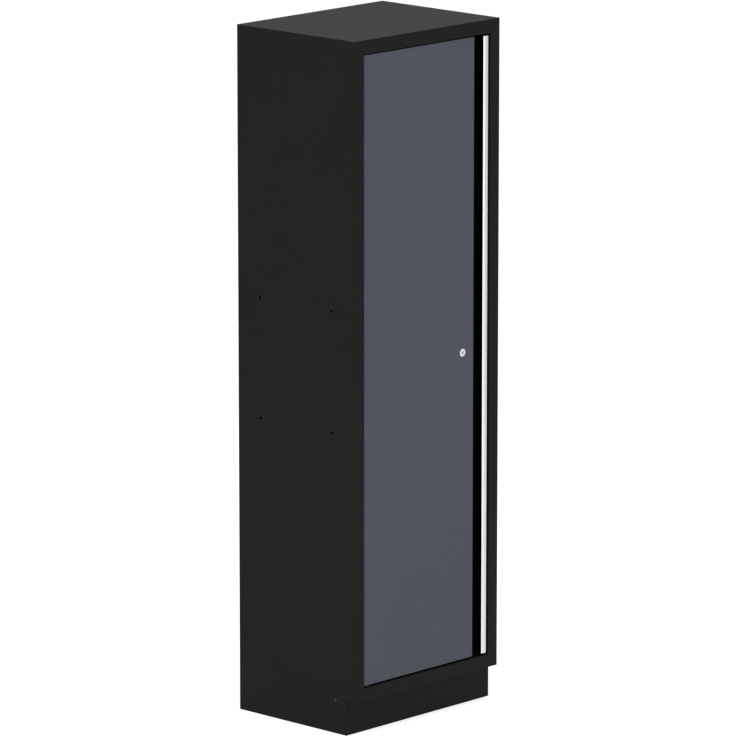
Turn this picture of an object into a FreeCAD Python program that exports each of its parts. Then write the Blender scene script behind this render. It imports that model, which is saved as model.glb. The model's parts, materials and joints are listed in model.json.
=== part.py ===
import FreeCAD, Part
import math
import os
import re

import Sketcher

# A tall steel storage cabinet with one inset door. The origin is on the floor under the middle of
# the footprint, +X is the right side seen from the front, +Y the back and +Z up. Millimetres.

DRIVING_SIZES = (
    # Carcass
    ("cabinet_width", 600),
    ("cabinet_depth", 460),
    ("cabinet_height", 2000),
    ("plinth_height", 100),
    ("plinth_setback", 34),
    ("stile_width", 39),
    ("top_rail", 40),
    ("bottom_rail", 38),
    ("gauge", 1),
    ("bend_radius", 1),
    ("seam", 0.2),
    ("hinge_stile_lip", 15),
    ("stop_lip", 12),
    ("rear_flange", 20),
    ("fixing_flange", 20),
    ("top_edge_round", 0.5),
    # Fixings to neighbouring cabinets and to a wall
    ("link_spacing_deep", 280),
    ("link_spacing_high", 350),
    ("link_hole", 9),
    ("wall_spacing", 400),
    ("wall_drop", 100),
    ("wall_hole", 8.5),
    # Blind rivets of the back
    ("rivet_shank", 4),
    ("rivet_head", 8),
    ("rivet_crown", 4.8),
    ("rivet_edge", 0.6),
    ("rivet_rise", 1.6),
    ("rivet_tail", 6),
    ("rivet_tail_length", 1.5),
    ("rivet_margin", 150),
    ("rivet_clearance", 0.1),
    # Plinth
    ("plinth_return", 50),
    ("plinth_tab", 12),
    ("plinth_lip", 15),
    ("plinth_screw_inset", 42),
    ("plinth_screw_drop", 1.5),
    ("screw_head", 7),
    ("screw_shank", 4),
    ("screw_cone", 1.5),
    ("screw_length", 12),
    ("screw_clearance", 0.15),
    # Door
    ("door_gap", 4),
    ("free_edge_gap", 5),
    ("bottom_gap", 6),
    ("door_recess", 4),
    ("door_thickness", 24),
    ("skin", 1),
    ("face_lip", 12),
    ("panel_inset", 0.5),
    ("stop_gap", 2),
    ("swing_room", 30),
    ("top_stop", 16),
    ("stiffener_width", 60),
    ("stiffener_lip", 15),
    ("stiffener_margin", 30),
    # Finger channel and pull strip
    ("grip_width", 39.8),
    ("strip_width", 18.3),
    ("strip_wall", 2),
    ("strip_lip", 3),
    ("strip_nose", 5.4),
    ("strip_leg", 12),
    ("strip_round", 0.8),
    ("strip_tip_round", 0.3),
    ("cap_thickness", 3),
    # Pivots
    ("pivot_inset", 16),
    ("pivot_depth", 9),
    ("pin_diameter", 8),
    ("pin_reach", 26),
    ("pin_head", 14),
    ("pin_head_height", 3),
    ("bush_wall", 2),
    ("bush_length", 20),
    ("bush_flange", 16),
    ("bush_flange_height", 2),
    ("pivot_clearance", 0.05),
    # Lock
    ("lock_inset", 46.5),
    ("lock_height", 1049),
    ("bezel_diameter", 23),
    ("bezel_height", 1.2),
    ("bezel_round", 0.5),
    ("barrel_diameter", 19),
    ("barrel_clearance", 0.2),
    ("nut_width", 26),
    ("nut_thickness", 3),
    ("plug_diameter", 10),
    ("plug_recess", 0.8),
    ("key_slot_width", 2),
    ("key_slot_height", 7),
    ("key_slot_depth", 6),
    ("tail_width", 6.5),
    ("tail_clearance", 0.1),
    ("driver_radius", 20),
    ("driver_width", 14),
    ("driver_thickness", 2.5),
    ("driver_pin", 5),
    ("driver_play", 0.5),
    ("driver_screw_head", 10),
    ("driver_screw_rise", 3),
    ("driver_screw_shank", 4),
    ("driver_screw_length", 8),
    # Lock rods and their guides
    ("rod_width", 12),
    ("rod_thickness", 3),
    ("rod_gap", 0.5),
    ("rod_top_rest", 2),
    ("rod_floor_rest", 6),
    ("rod_eye_wall", 3),
    ("rod_eye_play", 0.8),
    ("rod_clearance", 0.3),
    ("rod_hole_play", 1.5),
    ("guide_width", 28),
    ("guide_height", 20),
    ("guide_depth", 10),
    ("guide_reach", 150),
    ("guide_end", 120),
    # Buffers and magnets on the stop lip
    ("buffer_diameter", 7),
    ("buffer_air", 0.3),
    ("buffer_spread", 650),
    ("magnet_width", 7),
    ("magnet_height", 60),
    ("magnet_spread", 400),
    # Uprights, shelves and clips
    ("upright_depth", 12),
    ("upright_width", 26),
    ("upright_gauge", 1.2),
    ("upright_front", 45),
    ("upright_back", 30),
    ("upright_foot", 10),
    ("upright_head", 20),
    ("slot_pitch", 25),
    ("slot_start", 40),
    ("slot_width", 4),
    ("slot_height", 14),
    ("shelf_first_slot", 12),
    ("shelf_step", 14),
    ("shelf_play", 2),
    ("shelf_back", 4),
    ("shelf_lip", 30),
    ("shelf_hem", 10),
    ("shelf_side_lip", 20),
    ("clip_gauge", 1.5),
    ("clip_width", 16),
    ("clip_ledge", 13),
    ("clip_tab", 3),
    ("clip_tab_height", 8),
    ("clip_hook", 3),
    ("clip_drop", 8),
    ("clip_clearance", 0.3),
    # Levelling feet
    ("foot_inset", 38),
    ("foot_front", 83),
    ("foot_back", 55),
    ("pad_diameter", 38),
    ("pad_height", 10),
    ("pad_chamfer", 2),
    ("stud_diameter", 10),
    ("stud_height", 82),
    ("stud_seat", 4),
    ("foot_collar", 17),
    ("foot_collar_height", 6),
    ("spanner_relief", 0.2),
    ("bracket_gauge", 2.5),
    ("bracket_height", 45),
    ("bracket_rise", 40),
    ("bracket_width", 50),
    ("foot_nut", 17),
    ("foot_nut_height", 8),
    ("thread_clearance", 0.05),
    ("bracket_clearance", 0.5),
)

# Places that follow from the driving sizes.
DERIVED_PLACES = (
    ("left", "-cabinet_width / 2"),
    ("right", "cabinet_width / 2"),
    ("front", "-cabinet_depth / 2"),
    ("back", "cabinet_depth / 2 - rivet_rise"),
    ("under_top", "cabinet_height - gauge"),
    ("rail_under", "cabinet_height - top_rail"),
    ("sill", "plinth_height + bottom_rail"),
    ("inner_left", "left + gauge"),
    ("inner_right", "right - gauge"),
    ("opening_left", "left + stile_width"),
    ("opening_right", "right - stile_width"),
    ("plinth_front", "front + plinth_setback"),
    ("panel_back", "back - gauge"),
    ("panel_front", "back - 2 * gauge"),
    ("mid_height", "(plinth_height + cabinet_height) / 2"),
    ("door_left", "opening_left + door_gap"),
    ("door_right", "opening_right - free_edge_gap"),
    ("door_bottom", "sill + bottom_gap"),
    ("door_top", "rail_under - door_gap"),
    ("door_front", "front + door_recess"),
    ("door_back", "door_front + door_thickness"),
    ("skin_front", "door_back - skin"),
    ("stop_front", "door_back + stop_gap"),
    ("stop_back", "stop_front + gauge"),
    ("stop_start", "opening_right - stop_lip"),
    ("before_stop", "stop_front - bend_radius - seam"),
    ("strip_left", "door_right - strip_width"),
    ("face_right", "strip_left - grip_width"),
    ("pivot_x", "door_left + pivot_inset"),
    ("pivot_y", "door_front + pivot_depth"),
    ("lock_x", "face_right - lock_inset"),
    ("barrel_end", "door_back + nut_thickness"),
    ("rod_front", "stop_back + rod_gap"),
    ("rod_back", "rod_front + rod_thickness"),
    ("driver_front", "rod_back + driver_play"),
    ("driver_back", "driver_front + driver_thickness"),
    ("pin_offset", "driver_radius * cos(45deg)"),
    ("rod_offset", "(driver_radius + pin_offset) / 2"),
    ("eye_width", "driver_radius - pin_offset + driver_pin + 2 * rod_eye_play"),
    ("eye_height", "driver_pin + 2 * rod_eye_play"),
    ("rod_top", "rail_under - top_stop - rod_top_rest"),
    ("rod_bottom", "sill + rod_floor_rest"),
    ("upright_bottom", "sill + upright_foot"),
    ("upright_length", "rail_under - upright_head - upright_bottom"),
    ("slot_count", "floor((upright_length - 2 * slot_start) / slot_pitch) + 1"),
    ("front_upright_y", "front + upright_front"),
    ("rear_upright_y", "panel_front - upright_back - upright_width"),
    ("upright_face", "cabinet_width / 2 - gauge - upright_depth"),
    ("shelf_half", "upright_face - shelf_play"),
    ("shelf_front", "front_upright_y + (upright_width - clip_width) / 2 - gauge - shelf_play"),
    ("first_slot_z", "upright_bottom + slot_start"),
    ("foot_x", "cabinet_width / 2 - foot_inset"),
    ("front_foot_y", "plinth_front + foot_front"),
    ("rear_foot_y", "panel_front - foot_back"),
    ("nut_bottom", "bracket_height + bracket_gauge"),
)

SHELVES = 4
RIVETS_PER_SIDE = 6

doc = FreeCAD.newDocument("tall_cabinet")
sizes = doc.addObject("Spreadsheet::Sheet", "sizes")
places = doc.addObject("Spreadsheet::Sheet", "places")
WORD = re.compile(r"[a-z][a-z_0-9]*")
SIZE_NAMES = {name for name, value in DRIVING_SIZES}
PLACE_NAMES = {name for name, text in DERIVED_PLACES}
ORIENTATION = {
    "x": FreeCAD.Rotation(FreeCAD.Vector(0, 1, 0), 90),
    "y": FreeCAD.Rotation(FreeCAD.Vector(1, 0, 0), -90),
    "z": FreeCAD.Rotation(),
}
HALF_TURN = FreeCAD.Rotation(FreeCAD.Vector(0, 0, 1), 180)
# How edges are told apart: a sheet's broad faces against its cut edges, directions, and distances.
BROADER_THAN_EDGE = 1.5
PARALLEL = 0.9
SQUARE = 0.1
PROBE_STEP = 0.3
NEAR = 1e-4
nodes = []


def with_sheet_names(text, in_places=False):
    def full_name(word):
        name = word.group()
        if name in SIZE_NAMES:
            return "sizes." + name
        if name in PLACE_NAMES and not in_places:
            return "places." + name
        return name

    return WORD.sub(full_name, str(text))


def fill_sheets():
    for row, (name, value) in enumerate(DRIVING_SIZES, 1):
        sizes.set(f"A{row}", name)
        sizes.set(f"B{row}", str(value))
        sizes.setAlias(f"B{row}", name)
    for row, (name, text) in enumerate(DERIVED_PLACES, 1):
        places.set(f"A{row}", name)
        places.setAlias(f"B{row}", name)
    doc.recompute()
    for row, (name, text) in enumerate(DERIVED_PLACES, 1):
        places.set(f"B{row}", "=" + with_sheet_names(text, in_places=True))
    doc.recompute()


def bind(thing, setting, text):
    thing.setExpression(setting, with_sheet_names(text))


def new_body(label, at=None):
    body = doc.addObject("PartDesign::Body", label)
    body.Label = label
    if at:
        for axis, text in zip("xyz", at):
            bind(body, f"Placement.Base.{axis}", text)
    nodes.append(body)
    return body


def origin_feature(body, role):
    return next(feature for feature in body.Origin.OriginFeatures if feature.Role == role)


def outline(body, plane, name, points):
    """A closed polygon whose corners are tied to the sheets."""
    sketch = body.newObject("Sketcher::SketchObject", name)
    sketch.AttachmentSupport = [(origin_feature(body, plane), "")]
    sketch.MapMode = "FlatFace"
    count = len(points)
    start = []
    for corner in range(count):
        angle = 2 * math.pi * corner / count
        start.append(FreeCAD.Vector(math.cos(angle), math.sin(angle), 0))
    for corner in range(count):
        sketch.addGeometry(Part.LineSegment(start[corner], start[(corner + 1) % count]))
    for corner in range(count):
        sketch.addConstraint(Sketcher.Constraint("Coincident", corner, 2, (corner + 1) % count, 1))
    for corner, (across, up) in enumerate(points):
        for kind, text in (("DistanceX", across), ("DistanceY", up)):
            index = sketch.addConstraint(Sketcher.Constraint(kind, -1, 1, corner, 1, 1.0))
            bind(sketch, f"Constraints[{index}]", text)
    return sketch


def pad(body, sketch, length):
    feature = body.newObject("PartDesign::Pad", "pad")
    feature.Profile = sketch
    bind(feature, "Length", length)
    doc.recompute()
    return feature


def turn(body, points, plane="XZ_Plane"):
    """A turned piece: a half outline of (radius, height) corners spun about the upright axis."""
    sketch = outline(body, plane, "half_outline", points)
    feature = body.newObject("PartDesign::Revolution", "turn")
    feature.Profile = sketch
    feature.ReferenceAxis = (sketch, ["V_Axis"])
    feature.Angle = 360
    doc.recompute()
    return feature


def block(body, name, x, y, z, cut=False):
    """A box between two limits on each axis, added to the body or cut from it."""
    kind = "PartDesign::SubtractiveBox" if cut else "PartDesign::AdditiveBox"
    feature = body.newObject(kind, name)
    for axis, size, (low, high) in zip("xyz", ("Length", "Width", "Height"), (x, y, z)):
        bind(feature, size, f"({high}) - ({low})")
        bind(feature, f"Placement.Base.{axis}", low)
    return feature


def rod(body, name, axis, start, length, diameter, cut=False):
    """A cylinder along an axis from its start point, added to the body or cut from it."""
    kind = "PartDesign::SubtractiveCylinder" if cut else "PartDesign::AdditiveCylinder"
    feature = body.newObject(kind, name)
    feature.Placement = FreeCAD.Placement(FreeCAD.Vector(), ORIENTATION[axis])
    bind(feature, "Radius", f"({diameter}) / 2")
    bind(feature, "Height", length)
    for place, text in zip("xyz", start):
        bind(feature, f"Placement.Base.{place}", text)
    return feature


def round_edges(body, edges, radius):
    """Rounds edges of the body's last feature."""
    doc.recompute()
    last = body.Tip
    fillet = body.newObject("PartDesign::Fillet", "round")
    fillet.Base = (last, edges)
    bind(fillet, "Radius", radius)
    doc.recompute()


def bend_edges(shape, gauge, inner, along):
    """Edges where two broad faces of folded sheet meet, on the inside or the outside of a bend."""
    def is_broad(face):
        return face.Area / (face.Length / 2) > BROADER_THAN_EDGE * gauge

    found = []
    for number, edge in enumerate(shape.Edges, 1):
        faces = shape.ancestorsOfType(edge, Part.Face)
        if len(faces) != 2 or not all(is_broad(face) for face in faces):
            continue
        middle = edge.valueAt((edge.FirstParameter + edge.LastParameter) / 2)
        if along and abs(getattr(edge.tangentAt(edge.FirstParameter), along)) < PARALLEL:
            continue
        normals = [face.normalAt(*face.Surface.parameter(middle)) for face in faces]
        if abs(normals[0].dot(normals[1])) > SQUARE:
            continue
        beside = middle + (normals[0] - normals[1]) * (PROBE_STEP * gauge)
        if shape.isInside(beside, NEAR, False) == inner:
            found.append(f"Edge{number}")
    return found


def fold(body, gauge_name="gauge", along=None):
    """Gives folded sheet its bend radii, the outside ones first."""
    for inner, radius in ((False, f"bend_radius + {gauge_name}"), (True, "bend_radius")):
        doc.recompute()
        round_edges(body, bend_edges(body.Tip.Shape, getattr(sizes, gauge_name), inner, along), radius)


def edges_at(body, **limits):
    """Straight edges of the last feature whose two ends both lie at the given coordinates."""
    doc.recompute()
    found = []
    for number, edge in enumerate(body.Tip.Shape.Edges, 1):
        ends = [vertex.Point for vertex in edge.Vertexes]
        if all(abs(getattr(end, axis) - value) < NEAR for end in ends for axis, value in limits.items()):
            found.append(f"Edge{number}")
    return found


def edges_along(body, axis):
    """Straight edges of the last feature that run along an axis."""
    doc.recompute()
    found = []
    for number, edge in enumerate(body.Tip.Shape.Edges, 1):
        if abs(getattr(edge.tangentAt(edge.FirstParameter), axis)) > PARALLEL:
            found.append(f"Edge{number}")
    return found


def spun(points):
    """A solid of revolution about Z from a half outline of (radius, height) corners."""
    corners = [FreeCAD.Vector(radius, 0, height) for radius, height in points]
    face = Part.Face(Part.makePolygon(corners + corners[:1]))
    return face.revolve(FreeCAD.Vector(), FreeCAD.Vector(0, 0, 1), 360)


def box_between(low, high):
    size = FreeCAD.Vector(*high) - FreeCAD.Vector(*low)
    return Part.makeBox(size.x, size.y, size.z, FreeCAD.Vector(*low))


def group(label, shape, placements):
    """Separate copies of one small piece, held as one node."""
    copies = []
    for placement in placements:
        copy = shape.copy()
        copy.Placement = placement
        copies.append(copy)
    feature = doc.addObject("Part::Feature", label)
    feature.Label = label
    feature.Shape = Part.makeCompound(copies)
    feature.Placement = FreeCAD.Placement()
    nodes.append(feature)


def moved(x, y, z, rotation=FreeCAD.Rotation()):
    return FreeCAD.Placement(FreeCAD.Vector(x, y, z), rotation)


def rivet_heights():
    step = f"(cabinet_height - 2 * rivet_margin) / {RIVETS_PER_SIDE - 1}"
    return [f"rivet_margin + {number} * {step}" for number in range(RIVETS_PER_SIDE)]


# Carcass

# A cut of this length, started one gauge outside a sheet, goes right through it.
THROUGH = "3 * gauge"
RIVET_HOLE = "rivet_shank + 2 * rivet_clearance"
PIN_HOLE = "pin_diameter + 2 * pivot_clearance"
# Radius of the screw's countersunk seat where it leaves the side sheet.
SEAT_SMALL_END = "screw_head / 2 + screw_clearance - gauge * (screw_head - screw_shank) / 2 / screw_cone"
LEFT = {"edge": "left", "inward": "+", "outward": "-", "axis": 1}
RIGHT = {"edge": "right", "inward": "-", "outward": "+", "axis": -1}
HINGE_STILE = (
    ("stile_width", "front"),
    ("stile_width", "stop_back"),
    ("stile_width - hinge_stile_lip", "stop_back"),
    ("stile_width - hinge_stile_lip", "stop_front"),
    ("stile_width - gauge", "stop_front"),
    ("stile_width - gauge", "front + gauge"),
)
STOP_STILE = (
    ("stile_width", "front"),
    ("stile_width", "stop_front"),
    ("stile_width + stop_lip", "stop_front"),
    ("stile_width + stop_lip", "stop_back"),
    ("stile_width - gauge", "stop_back"),
    ("stile_width - gauge", "front + gauge"),
)


def side_panel(label, side, stile):
    """One folded sheet: rear flange, side, and a front stile, its bend filled flush at the rails."""
    corners = (("0", "front"),) + stile + (
        ("gauge", "front + gauge"),
        ("gauge", "panel_back"),
        ("rear_flange", "panel_back"),
        ("rear_flange", "back"),
        ("0", "back"),
    )
    edge, inward, outward = side["edge"], side["inward"], side["outward"]
    body = new_body(label)
    section = outline(body, "XY_Plane", "section", [(f"{edge} {inward} ({x})", y) for x, y in corners])
    pad(body, section, "under_top")
    fold(body, along="z")
    reach = (f"{edge} {outward} gauge", f"{edge} {inward} (stile_width + stop_lip + gauge)")
    bend = (f"{edge} {inward} (stile_width - gauge - bend_radius)", f"{edge} {inward} stile_width")
    if side is RIGHT:
        reach, bend = reach[::-1], bend[::-1]
    for level in (("plinth_height", "sill"), ("rail_under", "under_top")):
        block(body, "rail_weld", bend, ("front", "front + gauge + bend_radius"), level)
    toe = ("front - gauge", "plinth_front")
    block(body, "toe_recess", reach, toe, ("-gauge", "plinth_height"), cut=True)
    hole_start = "left - gauge" if side is LEFT else "right - 2 * gauge"
    for deep in ("-", "+"):
        for high in ("-", "+"):
            place = (hole_start, f"{deep} link_spacing_deep / 2", f"mid_height {high} link_spacing_high / 2")
            rod(body, "link_hole", "x", place, THROUGH, "link_hole", cut=True)
    for height in rivet_heights():
        place = (f"{edge} {inward} rear_flange / 2", "panel_back - gauge", height)
        rod(body, "rivet_hole", "y", place, THROUGH, RIVET_HOLE, cut=True)
    screw_seat(body, side)


def screw_seat(body, side):
    """The countersunk seat of the plinth screw, pressed through the side."""
    cone = body.newObject("PartDesign::SubtractiveCone", "screw_seat")
    turned = FreeCAD.Rotation(FreeCAD.Vector(0, 1, 0), 90 * side["axis"])
    cone.Placement = FreeCAD.Placement(FreeCAD.Vector(), turned)
    bind(cone, "Radius1", "screw_head / 2 + screw_clearance")
    bind(cone, "Radius2", SEAT_SMALL_END)
    bind(cone, "Height", "gauge")
    bind(cone, "Placement.Base.x", side["edge"])
    bind(cone, "Placement.Base.y", "plinth_front + plinth_screw_inset")
    bind(cone, "Placement.Base.z", "plinth_height - plinth_screw_drop")


def back_panel():
    body = new_body("back_panel")
    across = ("inner_left + bend_radius + seam", "inner_right - bend_radius - seam")
    block(body, "sheet", across, ("panel_front", "panel_back"), ("0", "under_top - seam"))
    for edge in ("left + rear_flange / 2", "right - rear_flange / 2"):
        for height in rivet_heights():
            place = (edge, "panel_front - gauge", height)
            rod(body, "rivet_hole", "y", place, THROUGH, RIVET_HOLE, cut=True)
    for hand in ("-", "+"):
        place = (f"{hand} wall_spacing / 2", "panel_front - gauge", "cabinet_height - wall_drop")
        rod(body, "wall_hole", "y", place, THROUGH, "wall_hole", cut=True)


def top_panel():
    """Top sheet over the sides, turned down at the front as the top rail with its door stop."""
    body = new_body("top_panel")
    rail = ("opening_left + seam", "opening_right - seam")
    stop = ("pivot_x + swing_room", "stop_start - seam")
    shelf = ("rail_under", "rail_under + gauge")
    hang = ("under_top - fixing_flange", "cabinet_height")
    block(body, "sheet", ("left", "right"), ("front", "back"), ("under_top", "cabinet_height"))
    block(body, "rail", rail, ("front", "front + gauge"), ("rail_under", "cabinet_height"))
    block(body, "rail_return", rail, ("front", "before_stop"), shelf)
    block(body, "stop_return", stop, ("front", "stop_back"), shelf)
    block(body, "stop", stop, ("stop_front", "stop_back"), ("rail_under - top_stop", "rail_under + gauge"))
    deep = ("stop_back + fixing_flange", "panel_front - fixing_flange")
    block(body, "left_flange", ("inner_left + seam", "inner_left + seam + gauge"), deep, hang)
    block(body, "right_flange", ("inner_right - seam - gauge", "inner_right - seam"), deep, hang)
    wide = ("inner_left + fixing_flange", "inner_right - fixing_flange")
    block(body, "rear_flange", wide, ("panel_front - seam - gauge", "panel_front - seam"), hang)
    pin_hole = ("pivot_x", "pivot_y", "rail_under - gauge")
    rod(body, "pin_hole", "z", pin_hole, THROUGH, PIN_HOLE, cut=True)
    round_edges(body, edges_at(body, z=sizes.cabinet_height), "top_edge_round")
    round_edges(body, edges_at(body, y=places.front, z=places.rail_under), "bend_radius + gauge")


def floor_panel():
    """Floor sheet with the bottom rail at the front and flanges turned down at the sides and back."""
    body = new_body("floor_panel")
    rail = ("opening_left + seam", "opening_right - seam")
    level = ("sill - gauge", "sill")
    hang = ("sill - fixing_flange", "sill")
    wide = ("inner_left + seam", "inner_right - seam")
    deep = ("stop_back + seam", "panel_front - seam")
    block(body, "threshold", rail, ("front", "before_stop"), level)
    block(body, "throat", ("opening_left + seam", "stop_start - seam"), ("front", "stop_back + seam"), level)
    block(body, "floor", wide, deep, level)
    block(body, "rail", rail, ("front", "front + gauge"), ("plinth_height", "sill"))
    block(body, "rail_return", rail, ("front", "before_stop"), ("plinth_height", "plinth_height + gauge"))
    block(body, "left_flange", ("inner_left + seam", "inner_left + seam + gauge"), deep, hang)
    block(body, "right_flange", ("inner_right - seam - gauge", "inner_right - seam"), deep, hang)
    block(body, "rear_flange", wide, ("panel_front - seam - gauge", "panel_front - seam"), hang)
    fold(body, along="x")
    pin_hole = ("pivot_x", "pivot_y", "sill - 2 * gauge")
    rod(body, "pin_hole", "z", pin_hole, THROUGH, PIN_HOLE, cut=True)
    middle = "lock_x + rod_offset"
    across = (f"{middle} - rod_width / 2 - rod_hole_play", f"{middle} + rod_width / 2 + rod_hole_play")
    along = ("rod_front - rod_hole_play", "rod_back + rod_hole_play")
    block(body, "rod_hole", across, along, ("sill - 2 * gauge", "sill + gauge"), cut=True)


def plinth_plate():
    """Kick plate between the sides, with returns that are screwed to them."""
    body = new_body("plinth_plate")
    top = "plinth_height - seam"
    left_end, right_end = "inner_left + seam", "inner_right - seam"
    block(body, "plate", (left_end, right_end), ("plinth_front", "plinth_front + gauge"), ("0", top))
    deep = ("plinth_front", "plinth_front + plinth_return")
    tab = ("plinth_front + plinth_return / 2", "plinth_front + plinth_return")
    for x in ((left_end, f"{left_end} + gauge"), (f"{right_end} - gauge", right_end)):
        block(body, "return", x, deep, ("0", top))
        block(body, "tab", x, tab, ("0", "plinth_height + plinth_tab"))
    fold(body, along="z")
    lip = ("plinth_front", "plinth_front + plinth_lip")
    inside = (f"{left_end} + gauge", f"{right_end} - gauge")
    block(body, "top_lip", inside, lip, (f"{top} - gauge", top))
    block(body, "foot_lip", inside, lip, ("0", "gauge"))
    for start in ("left", "right - screw_length"):
        place = (start, "plinth_front + plinth_screw_inset", "plinth_height - plinth_screw_drop")
        rod(body, "screw_hole", "x", place, "screw_length", f"2 * ({SEAT_SMALL_END})", cut=True)


def upright(label, side, depth_place):
    """Slotted channel on the inside of a side panel, which carries the shelf clips."""
    if side is LEFT:
        body = new_body(label, ("inner_left", depth_place, "upright_bottom"))
    else:
        body = new_body(label)
        body.Placement = FreeCAD.Placement(FreeCAD.Vector(), HALF_TURN)
        for axis, text in zip("xyz", ("inner_right", f"{depth_place} + upright_width", "upright_bottom")):
            bind(body, f"Placement.Base.{axis}", text)
    section = outline(body, "XY_Plane", "section", (
        ("0", "0"),
        ("upright_depth", "0"),
        ("upright_depth", "upright_width"),
        ("0", "upright_width"),
        ("0", "upright_width - upright_gauge"),
        ("upright_depth - upright_gauge", "upright_width - upright_gauge"),
        ("upright_depth - upright_gauge", "upright_gauge"),
        ("0", "upright_gauge"),
    ))
    pad(body, section, "upright_length")
    fold(body, "upright_gauge")
    slot = block(
        body, "slot",
        ("upright_depth - 2 * upright_gauge", "upright_depth + upright_gauge"),
        ("upright_width / 2 - slot_width / 2", "upright_width / 2 + slot_width / 2"),
        ("slot_start - slot_height / 2", "slot_start + slot_height / 2"),
        cut=True,
    )
    row = body.newObject("PartDesign::LinearPattern", "slot_row")
    row.Originals = [slot]
    row.Direction = (origin_feature(body, "Z_Axis"), [""])
    bind(row, "Occurrences", "slot_count")
    bind(row, "Length", "slot_pitch * (slot_count - 1)")
    body.Tip = row


# Shelves

def shelf_slot(number):
    return f"first_slot_z + slot_pitch * (shelf_first_slot + {number} * shelf_step)"


def shelf(number):
    """Shelf pan with deep lips front and back, turned in below, and side lips that sit on the clips."""
    top = f"{shelf_slot(number)} - clip_drop + shelf_side_lip"
    y_front, y_back = "shelf_front", "panel_front - shelf_back"
    body = new_body(f"shelf_{number + 1}")
    block(body, "pan", ("-shelf_half", "shelf_half"), (y_front, y_back), (f"{top} - shelf_lip", top))
    inside_x = ("-shelf_half + gauge", "shelf_half - gauge")
    inside_y = (f"{y_front} + gauge", f"{y_back} - gauge")
    block(body, "hollow", inside_x, inside_y, (f"{top} - shelf_lip - gauge", f"{top} - gauge"), cut=True)
    below_sides = (f"{top} - shelf_lip - gauge", f"{top} - shelf_side_lip")
    block(body, "side_relief", ("-shelf_half - gauge", "shelf_half + gauge"), inside_y, below_sides, cut=True)
    hem = (f"{top} - shelf_lip", f"{top} - shelf_lip + gauge")
    for deep in ((y_front, f"{y_front} + shelf_hem"), (f"{y_back} - shelf_hem", y_back)):
        block(body, "hem", ("-shelf_half", "shelf_half"), deep, hem)
    fold(body, along="x")


def shelf_clips(number):
    gauge, width = sizes.clip_gauge, sizes.clip_width / 2
    tab, slot = sizes.clip_tab / 2, sizes.slot_height / 2
    tab_top = sizes.clip_tab_height - slot
    behind = -sizes.upright_gauge - sizes.clip_hook
    hook_face = -sizes.upright_gauge - sizes.clip_clearance
    ledge = -sizes.clip_drop
    clip = box_between((0, -width, ledge - gauge), (gauge, width, slot))
    clip = clip.fuse([
        box_between((0, -width, ledge - gauge), (sizes.clip_ledge, width, ledge)),
        box_between((behind, -tab, -slot), (0, tab, tab_top)),
        box_between((behind, -tab, -slot - sizes.clip_hook), (hook_face, tab, tab_top)),
    ]).removeSplitter()
    height = places.first_slot_z + sizes.slot_pitch * (sizes.shelf_first_slot + number * sizes.shelf_step)
    spots = []
    for depth in (places.front_upright_y, places.rear_upright_y):
        middle = depth + sizes.upright_width / 2
        spots.append(moved(-places.upright_face, middle, height))
        spots.append(moved(places.upright_face, middle, height, HALF_TURN))
    group(f"shelf_clips_{number + 1}", clip, spots)


# Fasteners of the carcass

def back_rivets():
    shank, head, tail = sizes.rivet_shank / 2, sizes.rivet_head / 2, sizes.rivet_tail / 2
    under = -2 * sizes.gauge
    rivet = spun((
        (0, under - sizes.rivet_tail_length),
        (tail, under - sizes.rivet_tail_length),
        (tail, under),
        (shank, under),
        (shank, 0),
        (head, 0),
        (head, sizes.rivet_edge),
        (sizes.rivet_crown / 2, sizes.rivet_rise),
        (0, sizes.rivet_rise),
    ))
    step = (sizes.cabinet_height - 2 * sizes.rivet_margin) / (RIVETS_PER_SIDE - 1)
    column = places.right - sizes.rear_flange / 2
    spots = []
    for number in range(RIVETS_PER_SIDE):
        for x in (-column, column):
            spots.append(moved(x, places.back, sizes.rivet_margin + number * step, ORIENTATION["y"]))
    group("back_rivets", rivet, spots)


def plinth_screws():
    head, shank = sizes.screw_head / 2, sizes.screw_shank / 2
    screw = spun((
        (0, 0),
        (head, 0),
        (shank, sizes.screw_cone),
        (shank, sizes.screw_length - shank),
        (0, sizes.screw_length),
    ))
    y = places.plinth_front + sizes.plinth_screw_inset
    z = sizes.plinth_height - sizes.plinth_screw_drop
    spots = []
    for side in (LEFT, RIGHT):
        turned = FreeCAD.Rotation(FreeCAD.Vector(0, 1, 0), 90 * side["axis"])
        spots.append(moved(getattr(places, side["edge"]), y, z, turned))
    group("plinth_screws", screw, spots)


# Levelling feet

FEET = (
    ("front_left", LEFT, "front_foot_y"),
    ("front_right", RIGHT, "front_foot_y"),
    ("rear_left", LEFT, "rear_foot_y"),
    ("rear_right", RIGHT, "rear_foot_y"),
)


def foot_place(side, depth_place):
    return ("-foot_x" if side is LEFT else "foot_x", depth_place)


def foot_bracket(corner, side, depth_place):
    body = new_body(f"foot_bracket_{corner}")
    x, y = foot_place(side, depth_place)
    deep = (f"{y} - bracket_width / 2", f"{y} + bracket_width / 2")
    level = ("bracket_height", "bracket_height + bracket_gauge")
    rise = ("bracket_height", "bracket_height + bracket_rise")
    if side is LEFT:
        block(body, "plate", ("inner_left", f"{x} + bracket_width / 2"), deep, level)
        block(body, "flange", ("inner_left", "inner_left + bracket_gauge"), deep, rise)
    else:
        block(body, "plate", (f"{x} - bracket_width / 2", "inner_right"), deep, level)
        block(body, "flange", ("inner_right - bracket_gauge", "inner_right"), deep, rise)
    fold(body, "bracket_gauge")
    hole = "stud_diameter + 2 * bracket_clearance"
    rod(body, "stud_hole", "z", (x, y, "bracket_height - gauge"), "bracket_gauge + 2 * gauge", hole, cut=True)


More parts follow.
